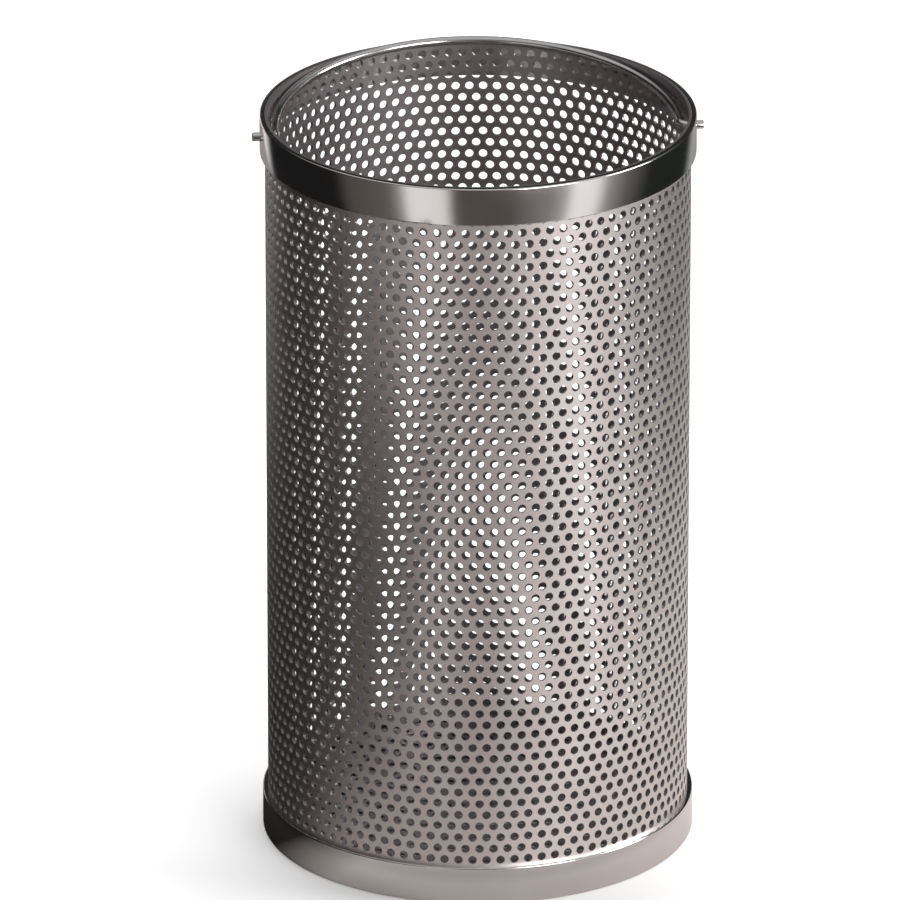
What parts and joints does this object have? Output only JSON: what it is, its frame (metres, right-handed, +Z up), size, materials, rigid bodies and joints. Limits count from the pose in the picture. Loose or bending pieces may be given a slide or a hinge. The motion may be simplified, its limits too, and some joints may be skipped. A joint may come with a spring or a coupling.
{
  "type": "autoclave basket",
  "caption": "Cylindrical perforated steel basket with a flat band at rim and foot, a perforated base and a wire bail that folds back into the mouth.",
  "frame": {"origin": "centre of the foot circle, on the surface the basket stands on", "axes": "+Z up along the basket's axis; the bail pivots about an axis along X and is folded back towards +Y"},
  "size_m": [0.257, 0.248, 0.4385],
  "materials": {
    "punched_sheet": "bright rolled stainless sheet, punched",
    "polished_band": "polished stainless strip",
    "wire": "drawn stainless wire"
  },
  "bodies": {
    "basket": {"perforated_wall": "punched_sheet", "base_plate": "punched_sheet", "top_band": "polished_band", "bottom_band": "polished_band"},
    "bail": {"bail_handle": "wire"}
  },
  "joints": [
    {"name": "bail_swing", "type": "hinge", "parent": "basket", "child": "bail", "pos_m": [0, 0, 0.424], "axis": [1, 0, 0], "range_deg": [0, 168.2]}
  ]
}
